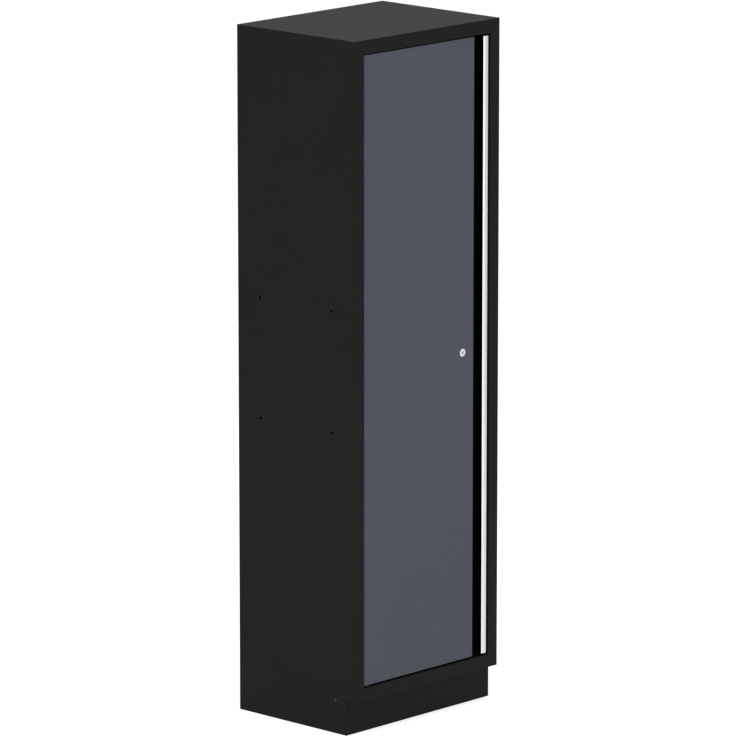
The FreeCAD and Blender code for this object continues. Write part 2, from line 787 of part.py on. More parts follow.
def foot_nuts():
    corner = sizes.foot_nut / math.sqrt(3)
    hexagon = []
    for number in range(6):
        angle = number * math.pi / 3
        hexagon.append(FreeCAD.Vector(corner * math.cos(angle), corner * math.sin(angle), 0))
    face = Part.Face(Part.makePolygon(hexagon + hexagon[:1]))
    nut = face.extrude(FreeCAD.Vector(0, 0, sizes.foot_nut_height))
    nut = nut.cut(Part.makeCylinder(sizes.stud_diameter / 2 + sizes.thread_clearance, sizes.foot_nut_height))
    spots = []
    for corner_name, side, depth_place in FEET:
        x = places.foot_x * -side["axis"]
        spots.append(moved(x, getattr(places, depth_place), places.nut_bottom))
    group("foot_nuts", nut, spots)


def foot_pad(corner, side, depth_place):
    body = new_body(f"foot_pad_{corner}", foot_place(side, depth_place) + ("0",))
    socket = "stud_diameter / 2 + thread_clearance"
    turn(body, (
        ("0", "0"),
        ("pad_diameter / 2 - pad_chamfer", "0"),
        ("pad_diameter / 2", "pad_chamfer"),
        ("pad_diameter / 2", "pad_height / 2"),
        ("foot_collar / 2 + pad_chamfer", "pad_height"),
        (socket, "pad_height"),
        (socket, "stud_seat"),
        ("0", "stud_seat"),
    ))


def foot_stud(corner, side, depth_place):
    body = new_body(f"foot_stud_{corner}", foot_place(side, depth_place) + ("0",))
    across_corners = "foot_collar / 2 + pad_chamfer"
    turn(body, (
        ("0", "stud_seat"),
        ("stud_diameter / 2", "stud_seat"),
        ("stud_diameter / 2", "pad_height"),
        (across_corners, "pad_height"),
        (across_corners, "pad_height + foot_collar_height"),
        ("stud_diameter / 2", "pad_height + foot_collar_height"),
        ("stud_diameter / 2", "stud_height - gauge"),
        ("stud_diameter / 2 - gauge", "stud_height"),
        ("0", "stud_height"),
    ))
    collar = ("pad_height - spanner_relief", "pad_height + foot_collar_height + spanner_relief")
    for x in (("foot_collar / 2", "foot_collar"), ("-foot_collar", "-foot_collar / 2")):
        block(body, "spanner_flat", x, ("-foot_collar", "foot_collar"), collar, cut=True)


# Hinge pivots

BUSH_BORE = "pin_diameter / 2 + pivot_clearance"
BUSH_OUTSIDE = "pin_diameter / 2 + pivot_clearance + bush_wall"


def pivot_pins():
    shank, head = "pin_diameter / 2", "pin_head / 2"
    end = "door_gap + pin_reach"
    lower_end = "bottom_gap + pin_reach"
    upper = new_body("top_pivot_pin", ("pivot_x", "pivot_y", "rail_under"))
    turn(upper, (
        ("0", f"-({end})"),
        (f"{shank} - gauge", f"-({end})"),
        (shank, f"-({end}) + gauge"),
        (shank, "gauge"),
        (head, "gauge"),
        (head, "gauge + pin_head_height"),
        ("0", "gauge + pin_head_height"),
    ))
    lower = new_body("bottom_pivot_pin", ("pivot_x", "pivot_y", "sill"))
    turn(lower, (
        ("0", "-gauge - pin_head_height"),
        (head, "-gauge - pin_head_height"),
        (head, "-gauge"),
        (shank, "-gauge"),
        (shank, f"{lower_end} - gauge"),
        (f"{shank} - gauge", lower_end),
        ("0", lower_end),
    ))


def pivot_bushes():
    flange = "bush_flange / 2"
    for label, level, up in (("top_pivot_bush", "door_top", ""), ("bottom_pivot_bush", "door_bottom", "-")):
        body = new_body(label, ("pivot_x", "pivot_y", level))
        inward = "-" if up == "" else ""
        turn(body, (
            (BUSH_BORE, f"{inward} bush_length"),
            (BUSH_OUTSIDE, f"{inward} bush_length"),
            (BUSH_OUTSIDE, "0"),
            (flange, "0"),
            (flange, f"{up} bush_flange_height"),
            (BUSH_BORE, f"{up} bush_flange_height"),
        ))
    washer = new_body("pivot_washer", ("pivot_x", "pivot_y", "sill"))
    turn(washer, (
        (BUSH_BORE, "0"),
        (flange, "0"),
        (flange, "bottom_gap - bush_flange_height"),
        (BUSH_BORE, "bottom_gap - bush_flange_height"),
    ))


# Door

DOOR_HEIGHT = "(door_top - door_bottom)"


def door_face():
    """The coloured front: a folded pan, open at the back, with lips for the inner panel."""
    body = new_body("door_face", ("0", "0", "door_bottom"))
    section = outline(body, "XY_Plane", "section", (
        ("door_left", "door_front"),
        ("face_right", "door_front"),
        ("face_right", "skin_front"),
        ("face_right - face_lip", "skin_front"),
        ("face_right - face_lip", "skin_front - skin"),
        ("face_right - skin", "skin_front - skin"),
        ("face_right - skin", "door_front + skin"),
        ("door_left + skin", "door_front + skin"),
        ("door_left + skin", "skin_front - skin"),
        ("door_left + face_lip", "skin_front - skin"),
        ("door_left + face_lip", "skin_front"),
        ("door_left", "skin_front"),
    ))
    pad(body, section, DOOR_HEIGHT)
    fold(body, "skin", along="z")
    inside = ("door_left + skin", "face_right - skin")
    deep = ("door_front + skin", "skin_front")
    block(body, "bottom_flange", inside, deep, ("0", "skin"))
    block(body, "top_flange", inside, deep, (f"{DOOR_HEIGHT} - skin", DOOR_HEIGHT))
    bush_hole = f"2 * ({BUSH_OUTSIDE} + pivot_clearance)"
    for level in ("-skin", f"{DOOR_HEIGHT} - 2 * skin"):
        rod(body, "bush_hole", "z", ("pivot_x", "pivot_y", level), "3 * skin", bush_hole, cut=True)
    lock_hole = ("lock_x", "door_front - skin", "lock_height - door_bottom")
    rod(body, "lock_hole", "y", lock_hole, "3 * skin", "barrel_diameter + 2 * barrel_clearance", cut=True)


def door_inner_panel():
    body = new_body("door_inner_panel")
    wide = ("door_left + panel_inset", "door_right - panel_inset")
    high = ("door_bottom + panel_inset", "door_top - panel_inset")
    block(body, "sheet", wide, ("skin_front", "door_back"), high)
    lock_hole = ("lock_x", "skin_front - skin", "lock_height")
    rod(body, "lock_hole", "y", lock_hole, "3 * skin", "barrel_diameter + 2 * barrel_clearance", cut=True)


def door_stiffener():
    """Hat section inside the door, between the face and the inner panel."""
    body = new_body("door_stiffener", ("0", "0", "door_bottom + stiffener_margin"))
    middle = "(door_left + face_right) / 2"
    left, right = f"{middle} - stiffener_width / 2", f"{middle} + stiffener_width / 2"
    section = outline(body, "XY_Plane", "section", (
        (left, "door_front + skin"),
        (right, "door_front + skin"),
        (right, "skin_front - skin"),
        (f"{right} + stiffener_lip", "skin_front - skin"),
        (f"{right} + stiffener_lip", "skin_front"),
        (f"{right} - skin", "skin_front"),
        (f"{right} - skin", "door_front + 2 * skin"),
        (f"{left} + skin", "door_front + 2 * skin"),
        (f"{left} + skin", "skin_front"),
        (f"{left} - stiffener_lip", "skin_front"),
        (f"{left} - stiffener_lip", "skin_front - skin"),
        (left, "skin_front - skin"),
    ))
    pad(body, section, f"{DOOR_HEIGHT} - 2 * stiffener_margin")
    fold(body, "skin", along="z")


GRIP_LENGTH = f"({DOOR_HEIGHT} - 2 * cap_thickness)"


def grip_channel():
    """Black finger channel along the free edge, with a flange behind the pull strip."""
    body = new_body("grip_channel", ("0", "0", "door_bottom + cap_thickness"))
    wall = "door_right - strip_wall"
    seat = "door_front + strip_wall"
    section = outline(body, "XY_Plane", "section", (
        ("face_right", seat),
        ("face_right + skin", seat),
        ("face_right + skin", "skin_front - skin"),
        (f"{wall} - skin", "skin_front - skin"),
        (f"{wall} - skin", f"{seat} + skin"),
        ("strip_left + strip_nose + strip_wall", f"{seat} + skin"),
        ("strip_left + strip_nose + strip_wall", seat),
        (wall, seat),
        (wall, "skin_front"),
        ("face_right", "skin_front"),
    ))
    pad(body, section, GRIP_LENGTH)
    fold(body, "skin", along="z")


def pull_strip():
    """Aluminium strip on the channel's flange: front, slanted nose for the fingers and edge leg."""
    body = new_body("pull_strip", ("0", "0", "door_bottom"))
    section = outline(body, "XY_Plane", "section", (
        ("strip_left + strip_nose", "door_front"),
        ("door_right", "door_front"),
        ("door_right", "door_front + strip_leg"),
        ("door_right - strip_wall", "door_front + strip_leg"),
        ("door_right - strip_wall", "door_front + strip_wall"),
        ("strip_left + strip_nose + strip_wall", "door_front + strip_wall"),
        ("strip_left + strip_wall", "door_front + strip_lip"),
        ("strip_left", "door_front + strip_lip"),
    ))
    pad(body, section, f"{DOOR_HEIGHT} - cap_thickness")
    edges = edges_at(body, x=places.strip_left + sizes.strip_nose, y=places.door_front)
    edges += edges_at(body, x=places.door_right, y=places.door_front)
    round_edges(body, edges, "strip_round")
    tip = edges_at(body, x=places.strip_left, y=places.door_front + sizes.strip_lip)
    round_edges(body, tip, "strip_tip_round")


def grip_caps():
    """Ends of the finger channel, set back behind the pull strip's nose."""
    across = ("face_right", "door_right - strip_wall")
    deep = ("door_front + strip_lip + seam", "skin_front")
    for label, low in (("grip_cap_top", "door_top - cap_thickness"), ("grip_cap_bottom", "door_bottom")):
        body = new_body(label)
        block(body, "cap", across, deep, (low, f"{low} + cap_thickness"))


# Lock

def lock_housing():
    body = new_body("lock_housing", ("lock_x", "door_front", "lock_height"))
    bore = "plug_diameter / 2 + pivot_clearance"
    end = "barrel_end - door_front"
    turn(body, (
        (bore, "-bezel_height"),
        ("bezel_diameter / 2 - bezel_round", "-bezel_height"),
        ("bezel_diameter / 2", "bezel_round - bezel_height"),
        ("bezel_diameter / 2", "0"),
        ("barrel_diameter / 2", "0"),
        ("barrel_diameter / 2", end),
        (bore, end),
    ), plane="XY_Plane")


def lock_nut():
    body = new_body("lock_nut", ("lock_x", "door_back", "lock_height"))
    corner, flat = "nut_width / sqrt(3)", "nut_width / 2"
    hexagon = outline(body, "XZ_Plane", "hexagon", (
        (corner, "0"),
        (f"{corner} / 2", flat),
        (f"-{corner} / 2", flat),
        (f"-{corner}", "0"),
        (f"-{corner} / 2", f"-{flat}"),
        (f"{corner} / 2", f"-{flat}"),
    ))
    pad(body, hexagon, "nut_thickness").Reversed = True
    bore = "barrel_diameter + 2 * pivot_clearance"
    rod(body, "bore", "y", ("0", "-gauge", "0"), "nut_thickness + 2 * gauge", bore, cut=True)


def lock_plug():
    body = new_body("lock_plug", ("lock_x", "door_front", "lock_height"))
    face = "plug_recess - bezel_height"
    end = "barrel_end - door_front"
    turn(body, (
        ("0", face),
        ("plug_diameter / 2", face),
        ("plug_diameter / 2", end),
        ("0", end),
    ), plane="XY_Plane")
    tail = body.newObject("PartDesign::AdditiveBox", "tail")
    tail.Placement = FreeCAD.Placement(FreeCAD.Vector(), FreeCAD.Rotation(FreeCAD.Vector(0, 1, 0), 45))
    bind(tail, "Length", "tail_width")
    bind(tail, "Width", "driver_back - barrel_end")
    bind(tail, "Height", "tail_width")
    bind(tail, "Placement.Base.x", "-tail_width * cos(45deg)")
    bind(tail, "Placement.Base.y", end)
    half_width, half_height = "key_slot_width / 2", "key_slot_height / 2"
    depth = (f"{face} - gauge", f"{face} + key_slot_depth")
    across = (f"-{half_width}", half_width)
    block(body, "key_slot", across, depth, (f"-{half_height}", half_height), cut=True)
    thread = ("0", "driver_back - door_front - driver_screw_length", "0")
    bore = "driver_screw_shank + 2 * pivot_clearance"
    rod(body, "screw_hole", "y", thread, "driver_screw_length + gauge", bore, cut=True)


def lock_driver():
    """Plate on the plug's square tail, whose two pins drive the rods."""
    body = new_body("lock_driver")
    body.Placement = FreeCAD.Placement(FreeCAD.Vector(), FreeCAD.Rotation(FreeCAD.Vector(0, 1, 0), -45))
    bind(body, "Placement.Base.x", "lock_x")
    bind(body, "Placement.Base.z", "lock_height")
    reach = "driver_radius + driver_width / 2"
    half = "driver_width / 2"
    block(body, "plate", (f"-({reach})", reach), ("driver_front", "driver_back"), (f"-{half}", half))
    round_edges(body, edges_along(body, "y"), f"{half} - seam")
    for hand in ("-", ""):
        start = (f"{hand} driver_radius", "rod_front + driver_play / 2", "0")
        rod(body, "pin", "y", start, "driver_back - rod_front - driver_play", "driver_pin")
    hole = "(tail_width / 2 + tail_clearance)"
    through = ("driver_front - gauge", "driver_back + gauge")
    block(body, "tail_hole", (f"-{hole}", hole), through, (f"-{hole}", hole), cut=True)


def driver_screw():
    body = new_body("driver_screw", ("lock_x", "driver_back", "lock_height"))
    head, shank = "driver_screw_head / 2", "driver_screw_shank / 2"
    turn(body, (
        ("0", "-driver_screw_length + gauge"),
        (shank, "-driver_screw_length + gauge"),
        (shank, "0"),
        (head, "0"),
        (head, "driver_screw_rise - gauge"),
        (f"{head} - gauge", "driver_screw_rise"),
        ("0", "driver_screw_rise"),
    ), plane="XY_Plane")


def lock_rod(label, x, pin_level, tip):
    """Flat bar from the driver's pin to its catch. Its cross slot takes the pin's sideways travel."""
    body = new_body(label)
    thick = ("rod_front", "rod_back")
    eye = (f"{x} - eye_width / 2", f"{x} + eye_width / 2")
    level = (f"{pin_level} - eye_height / 2", f"{pin_level} + eye_height / 2")
    around = (f"{eye[0]} - rod_eye_wall", f"{eye[1]} + rod_eye_wall")
    block(body, "head", around, thick, (f"{level[0]} - rod_eye_wall", f"{level[1]} + rod_eye_wall"))
    span = (pin_level, tip) if label == "lock_rod_upper" else (tip, pin_level)
    block(body, "bar", (f"{x} - rod_width / 2", f"{x} + rod_width / 2"), thick, span)
    block(body, "eye", eye, ("rod_front - gauge", "rod_back + gauge"), level, cut=True)


def rod_guides(label, x, heights):
    wide, high = sizes.guide_width / 2, sizes.guide_height / 2
    bar, room = sizes.rod_width / 2 + sizes.rod_clearance, sizes.rod_clearance
    near, far = places.door_back, places.door_back + sizes.guide_depth
    guide = box_between((-wide, near, -high), (wide, far, high))
    passage = box_between((-bar, places.rod_front - room, -2 * high), (bar, places.rod_back + room, 2 * high))
    guide = guide.makeFillet(sizes.bend_radius, guide.Edges).cut(passage)
    group(label, guide, [moved(x, 0, height) for height in heights])


def lock_rods():
    lock_rod("lock_rod_upper", "lock_x - rod_offset", "lock_height - pin_offset", "rod_top")
    lock_rod("lock_rod_lower", "lock_x + rod_offset", "lock_height + pin_offset", "rod_bottom")
    rod_guides("rod_guides_upper", places.lock_x - places.rod_offset,
               (sizes.lock_height + sizes.guide_reach, places.door_top - sizes.guide_end))
    rod_guides("rod_guides_lower", places.lock_x + places.rod_offset,
               (sizes.lock_height - sizes.guide_reach, places.door_bottom + sizes.guide_end))


# Door stop

def stop_pieces():
    """Rubber buffers and magnets stuck to the front of the stop lip."""
    thickness = sizes.stop_gap - sizes.buffer_air
    buffer_piece = Part.makeCylinder(sizes.buffer_diameter / 2, thickness)
    toward_door = FreeCAD.Rotation(FreeCAD.Vector(1, 0, 0), 90)
    x = places.stop_start + sizes.buffer_diameter / 2 + sizes.seam
    y = places.stop_front
    spots = [moved(x, y, places.mid_height + step * sizes.buffer_spread, toward_door) for step in (-1, 0, 1)]
    group("door_buffers", buffer_piece, spots)
    wide, high = sizes.magnet_width / 2, sizes.magnet_height / 2
    magnet = box_between((-wide, -thickness, -high), (wide, 0, high))
    spots = [moved(x, y, places.mid_height + step * sizes.magnet_spread) for step in (-1, 1)]
    group("door_magnets", magnet, spots)


def build():
    fill_sheets()
    side_panel("left_side_panel", LEFT, HINGE_STILE)
    side_panel("right_side_panel", RIGHT, STOP_STILE)
    back_panel()
    top_panel()
    floor_panel()
    plinth_plate()
    for end, depth_place in (("front", "front_upright_y"), ("rear", "rear_upright_y")):
        upright(f"upright_{end}_left", LEFT, depth_place)
        upright(f"upright_{end}_right", RIGHT, depth_place)
    for number in range(SHELVES):
        shelf(number)
        shelf_clips(number)
    back_rivets()
    plinth_screws()
    for foot in FEET:
        foot_bracket(*foot)
        foot_pad(*foot)
        foot_stud(*foot)
    foot_nuts()
    pivot_pins()
    pivot_bushes()
    door_face()
    door_inner_panel()
    door_stiffener()
    grip_channel()
    pull_strip()
    grip_caps()
    lock_housing()
    lock_nut()
    lock_plug()
    lock_driver()
    driver_screw()
    lock_rods()
    stop_pieces()
    doc.recompute()


def check():
    faults = []
    for thing in doc.Objects:
        if "Invalid" in thing.State or "Error" in thing.State:
            faults.append(f"{thing.Name}: {thing.State}")
    for node in nodes:
        shape = node.Shape
        if shape.isNull() or not shape.isValid() or not shape.Solids:
            faults.append(f"{node.Label}: no valid solid")
        elif node.TypeId == "PartDesign::Body" and len(shape.Solids) != 1:
            faults.append(f"{node.Label}: {len(shape.Solids)} solids")
    if faults:
        raise RuntimeError("; ".join(faults))


def export():
    os.makedirs("parts", exist_ok=True)
    for node in nodes:
        node.Shape.exportStep(f"parts/{node.Label}.step")
        box = node.Shape.BoundBox
        print(f"{node.Label}: {node.Shape.Volume / 1000:.1f} cm3, x {box.XMin:.1f} to {box.XMax:.1f}, "
              f"y {box.YMin:.1f} to {box.YMax:.1f}, z {box.ZMin:.1f} to {box.ZMax:.1f}")
    print(len(nodes), "nodes")


build()
check()
export()
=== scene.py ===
import json
import math

import bmesh
import bpy
from mathutils import Matrix, Vector

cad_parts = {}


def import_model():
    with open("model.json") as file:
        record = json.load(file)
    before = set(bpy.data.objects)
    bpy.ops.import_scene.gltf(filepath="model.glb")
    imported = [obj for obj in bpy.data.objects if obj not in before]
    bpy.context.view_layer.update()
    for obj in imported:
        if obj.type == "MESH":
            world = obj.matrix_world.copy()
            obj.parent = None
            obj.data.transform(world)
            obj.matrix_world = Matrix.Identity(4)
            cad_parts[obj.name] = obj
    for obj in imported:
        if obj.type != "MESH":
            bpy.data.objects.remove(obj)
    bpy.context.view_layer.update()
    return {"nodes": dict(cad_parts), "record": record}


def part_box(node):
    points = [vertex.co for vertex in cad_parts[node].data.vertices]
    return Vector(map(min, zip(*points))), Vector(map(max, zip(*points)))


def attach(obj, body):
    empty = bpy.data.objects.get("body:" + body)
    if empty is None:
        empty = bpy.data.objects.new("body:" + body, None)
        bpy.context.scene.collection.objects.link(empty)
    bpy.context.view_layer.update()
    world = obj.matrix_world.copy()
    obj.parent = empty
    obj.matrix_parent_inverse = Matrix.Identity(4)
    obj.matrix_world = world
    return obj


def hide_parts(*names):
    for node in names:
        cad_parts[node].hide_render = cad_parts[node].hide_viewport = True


# Tall steel cabinet with one inset door. Metres, front at -Y, floor at z = 0.
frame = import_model()
nodes = frame["nodes"]
mm = 0.001
print("frame:", len(nodes), "pieces of the cabinet")


# Shared tools

def linear(hexColour):
    channels = [int(hexColour[i:i + 2], 16) / 255 for i in (1, 3, 5)]
    return [c / 12.92 if c <= 0.04045 else ((c + 0.055) / 1.055) ** 2.4 for c in channels] + [1.0]


def addNode(tree, kind, inputs=None, outputs=None, **settings):
    # an input takes a value or another node's socket, an output goes to a socket
    node = tree.nodes.new(kind)
    for name, value in settings.items():
        setattr(node, name, value)
    for socket, value in (inputs or {}).items():
        if isinstance(value, bpy.types.NodeSocket):
            tree.links.new(value, node.inputs[socket])
        else:
            node.inputs[socket].default_value = value
    for socket, target in (outputs or {}).items():
        tree.links.new(node.outputs[socket], target)
    return node.outputs


def startMaterial(name, **constants):
    material = bpy.data.materials.new(name)
    material.use_nodes = True
    tree = material.node_tree
    shader = tree.nodes["Principled BSDF"]
    for socket, value in constants.items():
        shader.inputs[socket.replace("_", " ")].default_value = value
    return material, tree, shader, addNode(tree, "ShaderNodeTexCoord")["Object"]


def twoTones(pattern, darkHex, lightHex):
    return {"Factor": pattern, "A": linear(darkHex), "B": linear(lightHex)}


def finishSurface(tree, shader, colour, sheen, roughness, *reliefs):
    # sheen is the pattern that the roughness follows, a relief is a height and its depth, the widest first
    tree.links.new(colour, shader.inputs["Base Color"])
    addNode(tree, "ShaderNodeMapRange", {"Value": sheen, "To Min": roughness[0], "To Max": roughness[1]},
            {"Result": shader.inputs["Roughness"]})
    normal = {}
    for height, depth in reliefs:
        raised = addNode(tree, "ShaderNodeBump", {"Height": height, "Distance": depth, **normal})
        normal = {"Normal": raised["Normal"]}
    tree.links.new(normal["Normal"], shader.inputs["Normal"])


def addObject(name, data):
    piece = bpy.data.objects.new(name, data)
    bpy.context.scene.collection.objects.link(piece)
    return piece


def middleOf(node):
    low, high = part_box(node)
    return (low + high) / 2


# Materials

blackCoat = {
    "dark": "#0b0b0c",
    "light": "#161617",
    "roughness": (0.60, 0.70),
    "specular": 0.12,
    "grain": 1.6 * mm,         # the real grain is about 0.4 mm, drawn coarser so that it shows
    "grainDepth": 0.09 * mm,
    "pitShadeShare": 0.6,         # the grain's share of the colour's unevenness, its hollows painted darker as painted shade; the rest is cloud
    "peel": 14 * mm,
    "peelDepth": 0.04 * mm,
    "cloud": 240 * mm,
}
blueGreyCoat = {
    "dark": "#4a4d56",
    "light": "#5b5e67",
    "roughness": (0.50, 0.60),
    "specular": 0.12,
    "grain": 1.6 * mm,
    "grainDepth": 0.07 * mm,
    "pitShadeShare": 0.6,
    "peel": 18 * mm,
    "peelDepth": 0.05 * mm,
    "cloud": 300 * mm,
}
channelPaintAndShade = {
    # near black, much darker than the carcass coat: partly the channel's black paint, partly painted shade
    # of the deep finger recess
    "dark": "#020203",
    "light": "#050506",
    "roughness": (0.80, 0.92),
    "specular": 0.02,
    "grain": 1.6 * mm,
    "grainDepth": 0.03 * mm,
    "pitShadeShare": 0.6,
    "peel": 20 * mm,
    "peelDepth": 0.02 * mm,
    "cloud": 160 * mm,
}


def bakedCoat(name, look):
    # Sprayed and baked: an even colour, a dull sheen, a fine grain and a slow waviness in it, with the
    # grain's hollows painted darker as painted shade
    material, tree, shader, place = startMaterial(name, Specular_IOR_Level=look["specular"])
    cloud = addNode(tree, "ShaderNodeTexNoise",
                    {"Vector": place, "Scale": 1 / look["cloud"], "Detail": 3.0})["Fac"]
    grain = addNode(tree, "ShaderNodeTexNoise",
                    {"Vector": place, "Scale": 1 / look["grain"], "Detail": 2.0})["Fac"]
    peel = addNode(tree, "ShaderNodeTexNoise",
                   {"Vector": place, "Scale": 1 / look["peel"], "Detail": 1.0})["Fac"]
    # the grain darkens the colour where its relief is low: painted shade; the cloud is the coat's own uneven
    # tone
    cloudAndPitShade = addNode(tree, "ShaderNodeMix", {"Factor": look["pitShadeShare"], "A": cloud, "B": grain})["Result"]
    colour = addNode(tree, "ShaderNodeMix", twoTones(cloudAndPitShade, look["dark"], look["light"]), data_type="RGBA")
    finishSurface(tree, shader, colour["Result"], grain, look["roughness"],
                  (peel, look["peelDepth"]), (grain, look["grainDepth"]))
    return material


strip = {
    "dark": "#c6c7c8",
    "light": "#cfd0d1",
    "highlightDark": "#d3d4d5",
    "highlightLight": "#dbdcdd",
    "highlightWidth": 4.5 * mm,      # the slanted nose, painted lighter as a painted highlight
    "roughness": (0.26, 0.36),
    "lineWidth": 0.6 * mm,     # drawing lines are nearer 0.1 mm, widened so that they show
    "lineLength": 160 * mm,
    "lineDepth": 0.01 * mm,
}


def anodisedAluminium():
    # Drawn through a die and anodised: pale metal with soft lines along its length, and a painted highlight
    # on the slanted nose
    material, tree, shader, place = startMaterial("anodised_aluminium", Metallic=1.0)
    scale = (1 / strip["lineWidth"], 1 / strip["lineWidth"], 1 / strip["lineLength"])
    along = addNode(tree, "ShaderNodeMapping", {"Vector": place, "Scale": scale})["Vector"]
    lines = addNode(tree, "ShaderNodeTexNoise", {"Vector": along, "Scale": 1.0, "Detail": 2.0})["Fac"]
    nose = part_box("pull_strip")[0].x + strip["highlightWidth"]
    across = addNode(tree, "ShaderNodeSeparateXYZ", {"Vector": place})["X"]
    # the band along the nose gets lighter colours: a painted highlight, not a different metal
    noseHighlight = addNode(tree, "ShaderNodeMath", {0: across, 1: nose}, operation="LESS_THAN")["Value"]
    satin = addNode(tree, "ShaderNodeMix", twoTones(lines, strip["dark"], strip["light"]), data_type="RGBA")
    highlightTint = addNode(tree, "ShaderNodeMix", twoTones(lines, strip["highlightDark"], strip["highlightLight"]),
                     data_type="RGBA")
    colour = addNode(tree, "ShaderNodeMix", {"Factor": noseHighlight, "A": satin["Result"], "B": highlightTint["Result"]},
                     data_type="RGBA")
    finishSurface(tree, shader, colour["Result"], lines, strip["roughness"], (lines, strip["lineDepth"]))
    return material


nickel = {
    "dark": "#cccdd0",
    "light": "#d6d7da",
    "roughness": (0.20, 0.34),
    "ringWidth": 0.5 * mm,     # turning marks, about five times their real width
    "ringDepth": 0.008 * mm,
}
plugSteel = {
    "dark": "#b6b7bb",
    "light": "#c2c3c7",
    "roughness": (0.34, 0.48),
    "ringWidth": 0.5 * mm,
    "ringDepth": 0.012 * mm,
}


def turnedMetal(name, look):
    # Turned on a lathe: metal with fine rings round the lock's own axis
    material, tree, shader, place = startMaterial(name, Metallic=1.0)
    centre = middleOf("lock_plug")
    flat = addNode(tree, "ShaderNodeMapping",
                   {"Vector": place, "Location": (-centre.x, 0, -centre.z), "Scale": (1, 0, 1)})["Vector"]
    radius = addNode(tree, "ShaderNodeVectorMath", {0: flat}, operation="LENGTH")["Value"]
    rings = addNode(tree, "ShaderNodeTexNoise", {"W": radius, "Scale": 1 / look["ringWidth"]},
                    noise_dimensions="1D")["Fac"]
    colour = addNode(tree, "ShaderNodeMix", twoTones(rings, look["dark"], look["light"]), data_type="RGBA")
    finishSurface(tree, shader, colour["Result"], rings, look["roughness"], (rings, look["ringDepth"]))
    return material


zinc = {
    "dark": "#a4a7ab",
    "light": "#c2c4c6",
    "roughness": (0.28, 0.46),
    "patch": 9 * mm,
    "pit": 1.2 * mm,
    "pitDepth": 0.02 * mm,
}
blackZinc = {
    "dark": "#47484b",
    "light": "#57585b",
    "roughness": (0.42, 0.58),
    "patch": 5 * mm,
    "pit": 1.0 * mm,
    "pitDepth": 0.02 * mm,
}


def platedSteel(name, look):
    # Barrel-plated steel: cool metal in cloudy patches, slightly pitted
    material, tree, shader, place = startMaterial(name, Metallic=1.0)
    patch = addNode(tree, "ShaderNodeTexNoise",
                    {"Vector": place, "Scale": 1 / look["patch"], "Detail": 4.0})["Fac"]
    pits = addNode(tree, "ShaderNodeTexVoronoi", {"Vector": place, "Scale": 1 / look["pit"]})["Distance"]
    colour = addNode(tree, "ShaderNodeMix", twoTones(patch, look["dark"], look["light"]), data_type="RGBA")
    finishSurface(tree, shader, colour["Result"], patch, look["roughness"], (pits, look["pitDepth"]))
    return material


plastic = {
    "dark": "#0c0c0d",
    "light": "#121213",
    "roughness": (0.50, 0.64),
    "grain": 1.1 * mm,
    "grainDepth": 0.06 * mm,
    "speck": 2.75 * mm,
    "specular": 0.14,
}
rubber = {
    "dark": "#151515",
    "light": "#1f1f1e",
    "roughness": (0.78, 0.92),
    "grain": 0.9 * mm,
    "grainDepth": 0.05 * mm,
    "speck": 2.25 * mm,
    "specular": 0.25,
}
ferrite = {
    "dark": "#211f1d",
    "light": "#302d2a",
    "roughness": (0.62, 0.78),
    "grain": 1.4 * mm,
    "grainDepth": 0.03 * mm,
    "speck": 3.5 * mm,
    "specular": 0.30,
}


def mouldedBlack(name, look):
    # Pressed in a mould: dark, with the pebbled grain of the mould's wall
    material, tree, shader, place = startMaterial(name, Specular_IOR_Level=look["specular"])
    pebble = addNode(tree, "ShaderNodeTexVoronoi", {"Vector": place, "Scale": 1 / look["grain"]},
                     feature="SMOOTH_F1")["Distance"]
    speck = addNode(tree, "ShaderNodeTexNoise",
                    {"Vector": place, "Scale": 1 / look["speck"], "Detail": 3.0})["Fac"]
    colour = addNode(tree, "ShaderNodeMix", twoTones(speck, look["dark"], look["light"]), data_type="RGBA")
    finishSurface(tree, shader, colour["Result"], speck, look["roughness"], (pebble, look["grainDepth"]))
    return material


finishes = {
    "black_powder_coat": bakedCoat("black_powder_coat", blackCoat),
    "blue_grey_powder_coat": bakedCoat("blue_grey_powder_coat", blueGreyCoat),
    "flat_black_paint": bakedCoat("flat_black_paint", channelPaintAndShade),
    "anodised_aluminium": anodisedAluminium(),
    "nickel": turnedMetal("satin_nickel", nickel),
    "dark_steel": turnedMetal("turned_steel", plugSteel),
    "zinc_plated_steel": platedSteel("zinc_plated_steel", zinc),
    "black_zinc": platedSteel("black_zinc", blackZinc),
    "black_plastic": mouldedBlack("moulded_black_plastic", plastic),
    "buffer_rubber": mouldedBlack("buffer_rubber", rubber),
    "magnet_strip": mouldedBlack("bonded_ferrite", ferrite),
}
for part in frame["record"]["subparts"]:
    node = nodes[part["node"]]
    node.data.materials.clear()
    node.data.materials.append(finishes[part["material_slot"]])
print("materials:", len(finishes))


# Pieces

sharpAngle = math.radians(38)
weldDistance = 0.002 * mm
towardBack = Matrix.Rotation(-math.pi / 2, 4, "X")      # a shape made along +Z then looks along +Y
towardFront = Matrix.Rotation(math.pi / 2, 4, "X")
towardLeft = Matrix.Rotation(-math.pi / 2, 4, "Y")
towardRight = Matrix.Rotation(math.pi / 2, 4, "Y")


def inMetres(outline):
    return [(radius * mm, height * mm) for radius, height in outline]


def spunShape(outline, steps):
    # a turned shape round Z from (radius, height) corners
    mesh = bmesh.new()
    corners = [mesh.verts.new((radius, 0, height)) for radius, height in outline]
    edges = [mesh.edges.new(pair) for pair in zip(corners, corners[1:])]
    bmesh.ops.spin(mesh, geom=corners + edges, cent=(0, 0, 0), axis=(0, 0, 1), angle=math.tau,
                   steps=steps, use_merge=True)
    bmesh.ops.remove_doubles(mesh, verts=mesh.verts, dist=weldDistance)
    bmesh.ops.recalc_face_normals(mesh, faces=mesh.faces)
    return mesh


